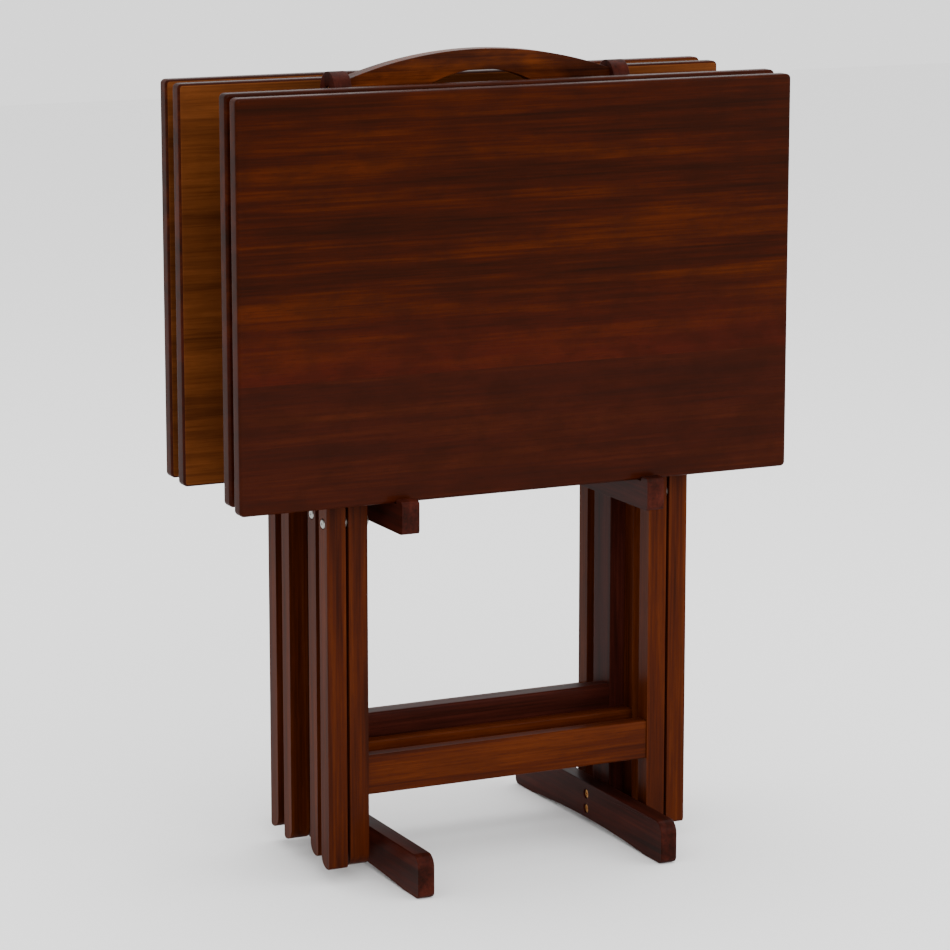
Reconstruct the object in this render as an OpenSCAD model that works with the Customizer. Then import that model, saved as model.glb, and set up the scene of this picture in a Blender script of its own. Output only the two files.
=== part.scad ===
// Set of four folding tray tables stowed on a carrying stand.
// Millimetres. Origin on the floor under the middle of the stand,
// X to the right, Y to the back, Z up.

/* [Stand] */
// Width over the outer faces of the two posts
stand_span = 306; // [306:1:309]
// Width of a post along X
post_w = 17.5; // [15:0.5:18]
// Depth of a post along Y
post_depth = 34.5; // [28:0.5:35]
// Height of the post tops above the floor
post_height = 752; // [730:1:780]
// Gap under the posts, which end beside the feet
post_lift = 3; // [1:0.5:10]
// Thickness of a foot along X
foot_w = 16.6; // [12:0.2:20]
// Length of a foot along Y
foot_length = 315; // [260:1:380]
// Height of a foot
foot_height = 41; // [34:1:60]
// Rise of the arched underside of a foot
foot_arch = 5; // [2:0.5:8]
// Radius at the upper ends of a foot
foot_round = 12; // [6:1:16]
// Thickness of a carrying arm along X
arm_w = 17.5; // [12:0.5:20]
// Height of a carrying arm below its seat
arm_height = 26.8; // [20:0.2:34]
// Height of the seats of the arms above the floor
seat_z = 364.5; // [355:0.5:380]
// Height of the end lips above the seat
lip_rise = 4.5; // [3:0.1:6]
// Length of an end lip along Y
lip_length = 13.3; // [10:0.1:20]
// Height of the stand stretcher's lower edge
stand_rail_z = 103; // [60:1:160]
// Height of the stand stretcher's face
stand_rail_h = 40; // [30:1:60]
// Thickness of the stand stretcher
stand_rail_t = 18; // [12:0.5:24]

/* [Handle] */
// Thickness of the carry handle along Y
handle_t = 18; // [14:0.5:24]
// Height of the handle's crown over the post tops
crown_over = 16; // [8:1:30]
// Rise of the crown over the ends of the handle
handle_rise = 23; // [12:1:30]
// Wood under the finger slot, down to the handle's straight lower edge
slot_floor = 18; // [12:1:30]
// Width of the finger slot
slot_length = 132; // [100:1:150]
// Height of the finger slot
slot_height = 25; // [20:0.5:28]
// Wood left over the slot at its middle
slot_cover = 19; // [12:0.5:24]
// Radius of the slot's arched upper edge
slot_arch_r = 118; // [90:1:300]

/* [Tray tops] */
// Length of a tray top along X
board_length = 565; // [520:1:640]
// Width of a tray top, upright when stowed
board_width = 377; // [372:1:380]
// Thickness of a tray top
board_t = 16; // [12:0.5:16]
// Rounding of the long edges of a tray top
board_edge_r = 3; // [3:0.5:5]
// Radius at the corners of a tray top
board_corner_r = 4.5; // [3:0.5:12]
// Height of the top pivot above the lower edge of a stowed top
pivot_rise = 316.3; // [312:0.1:318]

/* [Legs] */
// Width of a leg along X
leg_w = 19; // [16:0.5:19]
// Depth of a leg along Y
leg_d = 18; // [14:0.5:18]
// Distance from the top pivot to the foot end of a leg
leg_drop = 666; // [640:1:678]
// Distance from the top pivot to the crossing bolt
cross_drop = 336.5; // [328:0.5:342]
// Space between an inner and an outer leg
pair_gap = 3; // [2:0.5:6]
// Radius at the foot end of a leg on its worn side
foot_end_r = 12; // [6:1:13]
// Radius at the other corner of the foot end
foot_end_small_r = 3.5; // [2:0.5:4]
// Distance from the underside of the top to the leg's middle plane
pivot_depth = 17; // [17:0.5:18]

/* [Rails and cleats] */
// Distance from the top pivot to the upper edge of the leg stretcher
rail_drop = 560; // [540:1:575]
// Height of the leg stretcher's face
rail_h = 38; // [28:1:44]
// Thickness of the leg stretcher
rail_t = 15; // [10:0.5:16]
// Diameter of the top rod
rod_d = 14; // [12:0.5:16]
// Thickness of a cleat along X
cleat_w = 18; // [12:0.5:22]
// Height of the cleats and catches off the underside
cleat_h = 26; // [26:0.5:26.5]
// Distance from each long edge of the top to the cleat's end
cleat_inset = 25; // [15:1:40]
// Thickness of a catch along X
catch_w = 18; // [12:0.5:20]
// Length of a catch
catch_length = 42; // [34:1:56]
// Distance of a catch's notch from the lower edge of the top
catch_rise = 60.7; // [50:0.1:80]

/* [Hardware] */
// Diameter of the pivot and crossing bolts
bolt_d = 6; // [5:0.5:7]
// Diameter of the bolt heads
bolt_head_d = 9; // [8.5:0.5:12]
// Height of the bolt heads
bolt_head_h = 3; // [2:0.5:4]
// Depth of the counterbore that takes a bolt head in an outer leg
head_sink = 2; // [1:0.5:3]
// Diameter of the nuts
nut_d = 11; // [10:0.5:14]
// Diameter of the washers
washer_d = 12; // [10:0.5:15]
// Diameter of the wood screw heads
screw_head_d = 9; // [7:0.5:10]
// Diameter of the wood screw shanks
screw_d = 4.5; // [3:0.5:5.5]
// Depth of the screw heads under the wood's face
screw_sink = 1.5; // [0.5:0.5:3]
// Height of a foot's lower screw above the floor
foot_screw_z = 14; // [10:0.5:16]
// Distance between a foot's two screws
foot_screw_pitch = 15; // [11:0.5:18]
// Distance of an arm's screws from the middle of the arm
arm_screw_y = 9; // [7:0.5:12]
// Distance of a handle screw below the post top
handle_screw_drop = 18; // [16:0.5:24]

/* [Clearances] */
// Gap between the stowed top and the seat of the arms
seat_gap = 0.2; // [0.1:0.1:0.5]
// Radial gap round a bolt in its hole
bolt_gap = 0.05; // [0.02:0.01:0.08]
// Side gap between an outer leg and its cleat
cleat_gap = 2; // [1:0.5:4]
// Running gap at the ends of washers and nuts
run_gap = 0.1; // [0.05:0.05:0.3]
// Radial gap round a bolt head in its counterbore
head_gap = 0.6; // [0.3:0.1:1]
// Radial gap round the top rod in its catch
catch_gap = 0.3; // [0.2:0.1:0.8]
// Gap between an arm and the inner leg beside it
arm_side_gap = 11.5; // [10:0.5:20]
// Gap between an inner leg and the catch beside it
catch_side_gap = 9; // [5:0.5:14]
// Gap between the posts and the second table's legs
front_post_gap = 3.15; // [1:0.05:6]
// Gap between the posts and the third table's legs
rear_post_gap = 1.25; // [1:0.05:6]
// Gap between one table's legs and the next table's top
table_gap = 3; // [2:0.5:8]
// Gap between the first table's top and the front lips
lip_gap = 4; // [3.5:0.5:8]

/* [Places on the stand] */
// Side slip of the first table to the left
first_slip = 5; // [4:0.5:5]
// Side slip of the second table to the right
second_slip = 3; // [0:0.5:4]
// Side slip of the fourth table to the right
fourth_slip = 5; // [4:0.5:5]

/* [Hidden] */
$fn = 64;
eps = 0.01;
post_in = stand_span / 2 - post_w;
post_mid = stand_span / 2 - post_w / 2;
board_z0 = seat_z + seat_gap;
pivot_z = board_z0 + pivot_rise;
cross_z = pivot_z - cross_drop;
leg_foot_z = pivot_z - leg_drop;
rail_z0 = pivot_z - rail_drop - rail_h;
catch_z = board_z0 + catch_rise;
inner_x0 = post_in + arm_side_gap;
inner_x1 = inner_x0 + leg_w;
catch_x = inner_x0 - catch_side_gap - catch_w;
outer_x0 = inner_x1 + pair_gap;
outer_x1 = outer_x0 + leg_w;
cleat_x0 = outer_x1 + cleat_gap;
cleat_x1 = cleat_x0 + cleat_w;
hole_d = bolt_d + 2 * bolt_gap;
catch_d = rod_d + 2 * catch_gap;
foot_x0 = post_in - foot_w;
arm_x0 = post_in - arm_w;
handle_crown = post_height + crown_over;
handle_r = (post_in * post_in + handle_rise * handle_rise) / (2 * handle_rise);
slot_top = handle_crown - slot_cover;
handle_foot = slot_top - slot_height - slot_floor;
handle_screw_z = post_height - handle_screw_drop;
lip_out_r = min(4, lip_rise - 0.5);
lip_in_r = min(3, lip_rise - 0.5);
back_reach = max(leg_d / 2, cleat_h - pivot_depth);
stack_step = pivot_depth + board_t + table_gap + back_reach;
second_y = post_depth / 2 + front_post_gap + back_reach;
third_y = post_depth / 2 + rear_post_gap + back_reach;
first_y = second_y + stack_step;
fourth_y = third_y + stack_step;
arm_length = 2 * (first_y + pivot_depth + board_t + lip_gap + lip_length);
foot_arch_r = (pow(foot_length / 2 - 35, 2) + foot_arch * foot_arch) / (2 * foot_arch);
slips = [-first_slip, second_slip, 0, fourth_slip];
depths = [-first_y, -second_y, third_y, fourth_y];
turns = [0, 0, 180, 180];

// ---- helpers ------------------------------------------------------------

// Extrudes a (Y, Z) profile along X from x0 over a width.
module along_x(x0, w) {
  translate([x0, 0, 0])
    rotate([90, 0, 90])
      linear_extrude(height = w)
        children();
}

// Extrudes an (X, Z) profile along Y from y0 over a depth.
module along_y(y0, d) {
  translate([0, y0 + d, 0])
    rotate([90, 0, 0])
      linear_extrude(height = d)
        children();
}

// Rounded rectangle from a corner point.
module soft_rect(a, b, w, h, r) {
  translate([a + r, b])
    square([w - 2 * r, h]);
  translate([a, b + r])
    square([w, h - 2 * r]);
  for (i = [r, w - r])
    for (j = [r, h - r])
      translate([a + i, b + j])
        circle(r = r);
}

// Cylinder along X from x0 over a length at (y, z).
module pin_x(x0, l, d, y, z) {
  translate([x0, y, z])
    rotate([0, 90, 0])
      cylinder(h = l, d = d);
}

// Puts a table's own frame (leg plane at y = 0) at its place on the stand.
module place(k) {
  translate([slips[k - 1], depths[k - 1], 0])
    rotate([0, 0, turns[k - 1]])
      children();
}

// Draws the right-hand child at the right (1) or mirrored at the left (-1).
module side(s) {
  if (s > 0) {
    children();
  } else {
    mirror([1, 0, 0])
      children();
  }
}

// ---- stand --------------------------------------------------------------

// Post with a half-round top and the screw hole into the handle.
module post(s) {
  color([0.30, 0.13, 0.06])
    side(s)
      difference() {
        along_x(post_in, post_w) {
          translate([-post_depth / 2, post_lift])
            square([post_depth, post_height - post_depth / 2 - post_lift]);
          translate([0, post_height - post_depth / 2])
            circle(d = post_depth);
        }
        pin_x(post_in - 1, post_w + 2, screw_d + 0.1, 0, handle_screw_z);
        pin_x(post_in + post_w - screw_sink - 3, 10, screw_head_d + 0.2, 0, handle_screw_z);
      }
}

// Foot on the inner face of a post, with an arched underside.
module foot(s) {
  color([0.26, 0.11, 0.06])
    side(s)
      difference() {
        along_x(foot_x0, foot_w)
          difference() {
            union() {
              translate([-foot_length / 2, 6])
                square([foot_length, foot_height - foot_round - 6]);
              translate([-foot_length / 2 + foot_round, 6])
                square([foot_length - 2 * foot_round, foot_height - 6]);
              translate([-foot_length / 2 + 6, 0])
                square([foot_length - 12, 10]);
              for (i = [-1, 1]) {
                translate([i * (foot_length / 2 - foot_round), foot_height - foot_round])
                  circle(r = foot_round);
                translate([i * (foot_length / 2 - 6), 6])
                  circle(r = 6);
              }
            }
            translate([0, foot_arch - foot_arch_r])
              circle(r = foot_arch_r, $fn = 256);
          }
        for (z = [foot_screw_z, foot_screw_z + foot_screw_pitch]) {
          pin_x(foot_x0 - 1, foot_w + 2, screw_d + 0.1, 0, z);
          pin_x(foot_x0 - 1, 1 + screw_sink + 3, screw_head_d + 0.2, 0, z);
        }
      }
}

// Carrying arm on the inner face of a post, up to the seat.
module arm(s) {
  z0 = seat_z - arm_height;
  color([0.26, 0.11, 0.06])
    side(s)
      difference() {
        along_x(arm_x0, arm_w) {
          translate([-arm_length / 2, z0 + 4])
            square([arm_length, arm_height - 4]);
          translate([-arm_length / 2 + 4, z0])
            square([arm_length - 8, arm_height]);
          for (i = [-1, 1])
            translate([i * (arm_length / 2 - 4), z0 + 4])
              circle(r = 4);
        }
        for (y = [-arm_screw_y, arm_screw_y]) {
          pin_x(arm_x0 - 1, arm_w + 2, screw_d + 0.1, y, seat_z - arm_height / 2);
          pin_x(arm_x0 - 1, 1 + screw_sink + 3, screw_head_d + 0.2, y, seat_z - arm_height / 2);
        }
      }
}

// Raised lips at the arms' ends, cut from the arms' own wood.
module arm_lips() {
  color([0.26, 0.11, 0.06])
    for (s = [-1, 1])
      side(s)
        for (i = [-1, 1])
          along_x(arm_x0, arm_w)
            mirror([i < 0 ? 1 : 0, 0])
              translate([arm_length / 2 - lip_length, seat_z]) {
                square([lip_length, lip_rise - lip_out_r]);
                translate([lip_in_r, 0])
                  square([lip_length - lip_in_r - lip_out_r, lip_rise]);
                square([lip_in_r, lip_rise - lip_in_r]);
                intersection() {
                  square([lip_length, lip_rise]);
                  union() {
                    translate([lip_in_r, lip_rise - lip_in_r])
                      circle(r = lip_in_r);
                    translate([lip_length - lip_out_r, lip_rise - lip_out_r])
                      circle(r = lip_out_r);
                  }
                }
              }
}

// Arched handle between the posts, with a finger slot.
module carry_handle() {
  color([0.34, 0.15, 0.07])
    difference() {
      along_y(-handle_t / 2, handle_t)
        difference() {
          intersection() {
            translate([-post_in, handle_foot])
              square([2 * post_in, handle_crown - handle_foot]);
            translate([0, handle_crown - handle_r])
              circle(r = handle_r, $fn = 256);
          }
          intersection() {
            soft_rect(-slot_length / 2, slot_top - slot_height, slot_length, slot_height, slot_height / 2 - eps);
            translate([0, slot_top - slot_arch_r])
              circle(r = slot_arch_r, $fn = 256);
          }
        }
      for (s = [-1, 1])
        pin_x(s * (post_in - 13) - 15, 30, screw_d + 0.1, 0, handle_screw_z);
    }
}

// Stretcher between the inner faces of the posts, flush with their fronts.
module stand_stretcher() {
  color([0.28, 0.12, 0.06])
    along_y(-post_depth / 2, stand_rail_t)
      translate([-post_in, stand_rail_z])
        square([2 * post_in, stand_rail_h]);
}

// Wood screw along +X, its head starting at x.
module wood_screw(x, l, y, z) {
  pin_x(x, 3, screw_head_d, y, z);
  pin_x(x + 3 - eps, l, screw_d, y, z);
}

// Brass-coloured screws that hold the feet to the posts.
module foot_screws() {
  color([0.66, 0.42, 0.18])
    for (s = [-1, 1])
      side(s)
        for (z = [foot_screw_z, foot_screw_z + foot_screw_pitch])
          wood_screw(foot_x0 + screw_sink, foot_w - screw_sink - 3, 0, z);
}

// Screws that hold the arms to the posts.
module arm_screws() {
  color([0.66, 0.42, 0.18])
    for (s = [-1, 1])
      side(s)
        for (y = [-arm_screw_y, arm_screw_y])
          wood_screw(arm_x0 + screw_sink, arm_w - screw_sink - 3, y, seat_z - arm_height / 2);
}

// Screws through the post tops into the ends of the handle.
module handle_screws() {
  color([0.62, 0.32, 0.18])
    for (s = [-1, 1])
      side(s)
        translate([2 * post_mid, 0, 0])
          mirror([1, 0, 0])
            wood_screw(post_in + screw_sink, post_w - screw_sink - 3 + 20, 0, handle_screw_z);
}

// ---- one tray table, in its own frame ------------------------------------

// Tray top hanging upright in front of the legs.
module tabletop(k) {
  color([0.22, 0.06, 0.03])
    place(k)
      intersection() {
        along_x(-board_length / 2, board_length)
          soft_rect(-pivot_depth - board_t, board_z0, board_t, board_width, board_edge_r);
        along_y(-pivot_depth - board_t - 1, board_t + 2)
          soft_rect(-board_length / 2, board_z0, board_length, board_width, board_corner_r);
      }
}

// Two cleats across the underside that carry the pivots.
module cleats(k) {
  r = 6;
  z0 = board_z0 + cleat_inset;
  h = board_width - 2 * cleat_inset;
  color([0.36, 0.18, 0.08])
    place(k)
      for (s = [-1, 1])
        side(s)
          along_x(cleat_x0, cleat_w)
            difference() {
              union() {
                translate([-pivot_depth, z0])
                  square([cleat_h - r, h]);
                translate([-pivot_depth, z0 + r])
                  square([cleat_h, h - 2 * r]);
                for (z = [z0 + r, z0 + h - r])
                  translate([cleat_h - pivot_depth - r, z])
                    circle(r = r);
              }
              translate([0, pivot_z])
                circle(d = hole_d);
            }
}

// Two notched blocks that hold the top rod when a table stands open.
module catches(k) {
  color([0.36, 0.18, 0.08])
    place(k)
      for (s = [-1, 1])
        side(s)
          along_x(catch_x, catch_w)
            difference() {
              translate([-pivot_depth, catch_z - catch_length / 2])
                square([cleat_h, catch_length]);
              translate([0, catch_z])
                circle(d = catch_d);
              translate([0, catch_z - catch_d / 2])
                square([cleat_h, catch_d]);
            }
}

// Side profile of a leg; w is 1 when the worn corner faces the underside's back.
module leg_profile(w) {
  b = foot_end_small_r;
  a = min(foot_end_r, leg_d - b - 0.5);
  translate([-leg_d / 2, leg_foot_z + a])
    square([leg_d, leg_drop - a]);
  translate([0, pivot_z])
    circle(d = leg_d);
  intersection() {
    translate([w * (leg_d / 2 - a), leg_foot_z + a])
      circle(r = a);
    translate([-leg_d / 2, leg_foot_z])
      square([leg_d, 2 * a]);
  }
  translate([-w * (leg_d / 2 - b), leg_foot_z + b])
    circle(r = b);
  translate([w > 0 ? -leg_d / 2 + b : a - leg_d / 2, leg_foot_z])
    square([leg_d - a - b, a + 1]);
  translate([w > 0 ? -leg_d / 2 : 0, leg_foot_z + b])
    square([leg_d / 2, a - b + 1]);
}

// Outer leg with its pivot hole and crossing hole.
module outer_leg(k, s) {
  color([0.30, 0.12, 0.05])
    place(k)
      side(s)
        difference() {
          along_x(outer_x0, leg_w)
            difference() {
              leg_profile(1);
              translate([0, pivot_z])
                circle(d = hole_d);
              translate([0, cross_z])
                circle(d = hole_d);
            }
          pin_x(outer_x1 - head_sink, head_sink + 1, bolt_head_d + 2 * head_gap, 0, cross_z);
        }
}

// Inner leg with its crossing hole.
module inner_leg(k, s) {
  color([0.30, 0.12, 0.05])
    place(k)
      side(s)
        along_x(inner_x0, leg_w)
          difference() {
            leg_profile(-1);
            translate([0, cross_z])
              circle(d = hole_d);
          }
}

// Stretcher between the inner legs.
module leg_stretcher(k) {
  color([0.30, 0.13, 0.06])
    place(k)
      along_y(-rail_t / 2, rail_t)
        translate([-inner_x0, rail_z0])
          square([2 * inner_x0, rail_h]);
}

// Round rod between the tops of the inner legs.
module top_rod(k) {
  color([0.32, 0.14, 0.06])
    place(k)
      pin_x(-inner_x0, 2 * inner_x0, rod_d, 0, pivot_z);
}

// Low head outside, shank through both legs, nut inside.
module crossing_bolts(k) {
  color([0.62, 0.62, 0.62])
    place(k)
      for (s = [-1, 1])
        side(s) {
          pin_x(outer_x1 - head_sink, bolt_head_h, bolt_head_d, 0, cross_z);
          pin_x(inner_x0 - run_gap - eps, outer_x1 - head_sink - inner_x0 + run_gap + 2 * eps,
                bolt_d, 0, cross_z);
          pin_x(inner_x0 - run_gap - bolt_head_h, bolt_head_h, nut_d, 0, cross_z);
        }
}

// Washers between the inner and outer legs.
module washers(k) {
  color([0.60, 0.60, 0.60])
    place(k)
      for (s = [-1, 1])
        side(s)
          along_x(inner_x1 + run_gap, pair_gap - run_gap)
            difference() {
              translate([0, cross_z])
                circle(d = washer_d);
              translate([0, cross_z])
                circle(d = hole_d);
            }
}

// Bolts through the cleats into the outer legs.
module pivot_bolts(k) {
  color([0.62, 0.62, 0.62])
    place(k)
      for (s = [-1, 1])
        side(s) {
          pin_x(cleat_x1, bolt_head_h, bolt_head_d, 0, pivot_z);
          pin_x(outer_x0 + 1, cleat_x1 - outer_x0 - 1 + eps, bolt_d, 0, pivot_z);
        }
}

// ---- nodes --------------------------------------------------------------

post(-1);  // post_left
post(1);  // post_right
foot(-1);  // foot_left
foot(1);  // foot_right
arm(-1);  // arm_left
arm(1);  // arm_right
arm_lips();
carry_handle();
stand_stretcher();
foot_screws();
arm_screws();
handle_screws();

tabletop(1);  // table_1_tabletop
cleats(1);  // table_1_cleats
catches(1);  // table_1_catches
outer_leg(1, -1);  // table_1_outer_leg_left
outer_leg(1, 1);  // table_1_outer_leg_right
inner_leg(1, -1);  // table_1_inner_leg_left
inner_leg(1, 1);  // table_1_inner_leg_right
leg_stretcher(1);  // table_1_stretcher
top_rod(1);  // table_1_top_rod
crossing_bolts(1);  // table_1_crossing_bolts
washers(1);  // table_1_washers
pivot_bolts(1);  // table_1_pivot_bolts

tabletop(2);  // table_2_tabletop
cleats(2);  // table_2_cleats
catches(2);  // table_2_catches
outer_leg(2, -1);  // table_2_outer_leg_left
outer_leg(2, 1);  // table_2_outer_leg_right
inner_leg(2, -1);  // table_2_inner_leg_left
inner_leg(2, 1);  // table_2_inner_leg_right
leg_stretcher(2);  // table_2_stretcher
top_rod(2);  // table_2_top_rod
crossing_bolts(2);  // table_2_crossing_bolts
washers(2);  // table_2_washers
pivot_bolts(2);  // table_2_pivot_bolts

tabletop(3);  // table_3_tabletop
cleats(3);  // table_3_cleats
catches(3);  // table_3_catches
outer_leg(3, 1);  // table_3_outer_leg_left
outer_leg(3, -1);  // table_3_outer_leg_right
inner_leg(3, 1);  // table_3_inner_leg_left
inner_leg(3, -1);  // table_3_inner_leg_right
leg_stretcher(3);  // table_3_stretcher
top_rod(3);  // table_3_top_rod
crossing_bolts(3);  // table_3_crossing_bolts
washers(3);  // table_3_washers
pivot_bolts(3);  // table_3_pivot_bolts

tabletop(4);  // table_4_tabletop
cleats(4);  // table_4_cleats
catches(4);  // table_4_catches
outer_leg(4, 1);  // table_4_outer_leg_left
outer_leg(4, -1);  // table_4_outer_leg_right
inner_leg(4, 1);  // table_4_inner_leg_left
inner_leg(4, -1);  // table_4_inner_leg_right
leg_stretcher(4);  // table_4_stretcher
top_rod(4);  // table_4_top_rod
crossing_bolts(4);  // table_4_crossing_bolts
washers(4);  // table_4_washers
pivot_bolts(4);  // table_4_pivot_bolts
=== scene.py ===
"""Looks for a set of folding tray tables that hang on a carrying stand.

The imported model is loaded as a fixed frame. Each part is then modelled again
with softened edges, holes and recesses, dressed in stained wood or plated
metal, and set on the body that carries its CAD node.
"""

import logging
import math
from dataclasses import dataclass, field
from enum import Enum
from typing import Callable

import bpy
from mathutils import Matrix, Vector


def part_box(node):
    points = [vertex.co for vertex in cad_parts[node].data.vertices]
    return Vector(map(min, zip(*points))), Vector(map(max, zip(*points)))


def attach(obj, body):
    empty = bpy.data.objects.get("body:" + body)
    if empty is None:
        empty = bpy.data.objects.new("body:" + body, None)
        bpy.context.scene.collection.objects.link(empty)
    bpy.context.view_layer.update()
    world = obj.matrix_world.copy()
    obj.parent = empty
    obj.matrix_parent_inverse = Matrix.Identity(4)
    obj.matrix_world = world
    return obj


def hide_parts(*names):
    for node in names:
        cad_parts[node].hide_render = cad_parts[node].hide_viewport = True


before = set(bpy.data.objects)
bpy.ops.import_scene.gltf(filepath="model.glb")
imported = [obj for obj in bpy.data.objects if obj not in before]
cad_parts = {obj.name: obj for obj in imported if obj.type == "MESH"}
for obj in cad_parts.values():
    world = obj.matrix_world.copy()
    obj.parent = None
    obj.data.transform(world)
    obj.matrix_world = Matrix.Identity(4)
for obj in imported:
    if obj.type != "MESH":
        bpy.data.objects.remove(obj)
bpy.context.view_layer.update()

LOG = logging.getLogger("tray_tables")
MM = 0.001
# How far a cutter runs past the wood it cuts.
OVERCUT = 1 * MM
# Keeps a half-round just short of half the width, so its two arcs stay apart.
HALF_ROUND_SLACK = 0.02 * MM
EdgeTest = Callable[[Vector, Vector], bool]


class Grain(Enum):
    """The direction in which a piece's wood fibres run."""

    ALONG_X = 0
    ALONG_Y = 1
    ALONG_Z = 2


class Side(Enum):
    """The left or right half of the object, as a sign along X."""

    LEFT = -1
    RIGHT = 1


# ---- modelling helpers ------------------------------------------------------


def deselect_all() -> None:
    """Leaves nothing selected, so an operator touches only the new piece."""
    bpy.ops.object.select_all(action="DESELECT")


def make_active(obj: bpy.types.Object) -> None:
    """Selects one object alone and makes it the active one."""
    deselect_all()
    obj.select_set(True)
    bpy.context.view_layer.objects.active = obj


def apply_place(obj: bpy.types.Object) -> None:
    """Moves the object's place, turn and size into its mesh."""
    make_active(obj)
    bpy.ops.object.transform_apply(location=True, rotation=True, scale=True)


def add_block(name: str, low: Vector, high: Vector) -> bpy.types.Object:
    """Adds a square-edged block.

    Args:
        name: The new object's name.
        low: Its lowest corner, in metres.
        high: Its highest corner, in metres.

    Returns:
        The block, at the origin with its place in its mesh.
    """
    deselect_all()
    bpy.ops.mesh.primitive_cube_add(size=1.0, location=(low + high) / 2)
    obj = bpy.context.object
    obj.name = name
    obj.data.name = name
    obj.scale = high - low
    apply_place(obj)
    return obj


def add_round(
    name: str, start: Vector, length: float, radius: float, along: Grain, sides: int = 48
) -> bpy.types.Object:
    """Adds a round bar or disc.

    Args:
        name: The new object's name.
        start: The middle of its lower end, in metres.
        length: Its length along the axis.
        radius: Its radius.
        along: The axis it runs along.
        sides: How many flat sides stand for the round.

    Returns:
        The bar, at the origin with its place in its mesh.
    """
    step = Vector((0.0, 0.0, 0.0))
    step[along.value] = length / 2
    turn = {
        Grain.ALONG_X: (0.0, math.pi / 2, 0.0),
        Grain.ALONG_Y: (math.pi / 2, 0.0, 0.0),
        Grain.ALONG_Z: (0.0, 0.0, 0.0),
    }[along]
    deselect_all()
    bpy.ops.mesh.primitive_cylinder_add(
        vertices=sides, radius=radius, depth=length, location=start + step, rotation=turn
    )
    obj = bpy.context.object
    obj.name = name
    obj.data.name = name
    apply_place(obj)
    return obj


def apply_modifier(obj: bpy.types.Object, kind: str, **settings: object) -> None:
    """Adds one modifier with its settings and applies it."""
    modifier = obj.modifiers.new(kind.title(), kind)
    for key, value in settings.items():
        setattr(modifier, key, value)
    make_active(obj)
    bpy.ops.object.modifier_apply(modifier=modifier.name)


def cut(obj: bpy.types.Object, cutter: bpy.types.Object) -> None:
    """Takes a cutter's shape out of a piece and removes the cutter."""
    apply_modifier(obj, "BOOLEAN", operation="DIFFERENCE", solver="EXACT", object=cutter)
    bpy.data.objects.remove(cutter, do_unlink=True)


def keep_inside(obj: bpy.types.Object, mould: bpy.types.Object) -> None:
    """Keeps only what lies inside a mould and removes the mould."""
    apply_modifier(obj, "BOOLEAN", operation="INTERSECT", solver="EXACT", object=mould)
    bpy.data.objects.remove(mould, do_unlink=True)


def round_edges(
    obj: bpy.types.Object, chosen: EdgeTest, radius: float, segments: int = 6
) -> None:
    """Rounds chosen edges in edit mode.

    Args:
        obj: The piece to shape.
        chosen: Says of an edge's two ends whether the edge is rounded.
        radius: The rounding's radius, in metres.
        segments: How many flats make the rounding.
    """
    make_active(obj)
    bpy.ops.object.mode_set(mode="EDIT")
    bpy.ops.mesh.select_mode(type="EDGE")
    bpy.ops.mesh.select_all(action="DESELECT")
    bpy.ops.object.mode_set(mode="OBJECT")
    mesh = obj.data
    for edge in mesh.edges:
        first, last = (mesh.vertices[i].co for i in edge.vertices)
        edge.select = chosen(first, last)
    bpy.ops.object.mode_set(mode="EDIT")
    bpy.ops.mesh.bevel(offset=radius, segments=segments, profile=0.5, affect="EDGES")
    bpy.ops.mesh.select_all(action="SELECT")
    bpy.ops.mesh.remove_doubles(threshold=0.00002)
    bpy.ops.object.mode_set(mode="OBJECT")


def soften(obj: bpy.types.Object, width: float, segments: int = 3) -> None:
    """Breaks every remaining sharp edge, as sandpaper does, and shades it smooth."""
    make_active(obj)
    bpy.ops.object.mode_set(mode="EDIT")
    bpy.ops.mesh.select_all(action="SELECT")
    bpy.ops.mesh.normals_make_consistent(inside=False)
    bpy.ops.object.mode_set(mode="OBJECT")
    apply_modifier(
        obj,
        "BEVEL",
        width=width,
        segments=segments,
        limit_method="ANGLE",
        angle_limit=math.radians(33),
        use_clamp_overlap=True,
        miter_outer="MITER_ARC",
    )
    make_active(obj)
    bpy.ops.object.shade_smooth_by_angle(angle=math.radians(32))
    apply_modifier(obj, "WEIGHTED_NORMAL", mode="FACE_AREA", weight=100, keep_sharp=True)


def drill(obj: bpy.types.Object, mouth: Vector, depth: float, radius: float) -> None:
    """Drills a hole along X from its mouth, over a depth."""
    cut(obj, add_round("drill", mouth, depth, radius, Grain.ALONG_X, 32))


def join(parts: list[bpy.types.Object], name: str) -> bpy.types.Object:
    """Joins several meshes into one named piece."""
    deselect_all()
    for part in parts:
        part.select_set(True)
    bpy.context.view_layer.objects.active = parts[0]
    bpy.ops.object.join()
    obj = bpy.context.object
    obj.name = name
    obj.data.name = name
    return obj


def at(value: float, target: float) -> bool:
    """Says whether a coordinate lies on a plane, to a hundredth of a millimetre."""
    return abs(value - target) < 0.01 * MM


def node_box(node: str) -> tuple[Vector, Vector]:
    """Returns a CAD node's lowest and highest corners."""
    low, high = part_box(node)
    return Vector(low), Vector(high)


def half_box(node: str, side: Side, width: float) -> tuple[Vector, Vector]:
    """Returns one half of a node made of a left and a right piece.

    Args:
        node: The CAD node.
        side: Which of its two pieces.
        width: The piece's size along X.

    Returns:
        The piece's lowest and highest corners.
    """
    low, high = node_box(node)
    if side is Side.LEFT:
        high.x = low.x + width
    else:
        low.x = high.x - width
    return low, high


# ---- finishes ---------------------------------------------------------------


def linear(hex_colour: str) -> tuple[float, float, float, float]:
    """Turns an sRGB hex colour into linear red, green, blue and alpha."""
    values = []
    for start in (0, 2, 4):
        part = int(hex_colour.lstrip("#")[start : start + 2], 16) / 255
        values.append(part / 12.92 if part <= 0.04045 else ((part + 0.055) / 1.055) ** 2.4)
    return (values[0], values[1], values[2], 1.0)


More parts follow.
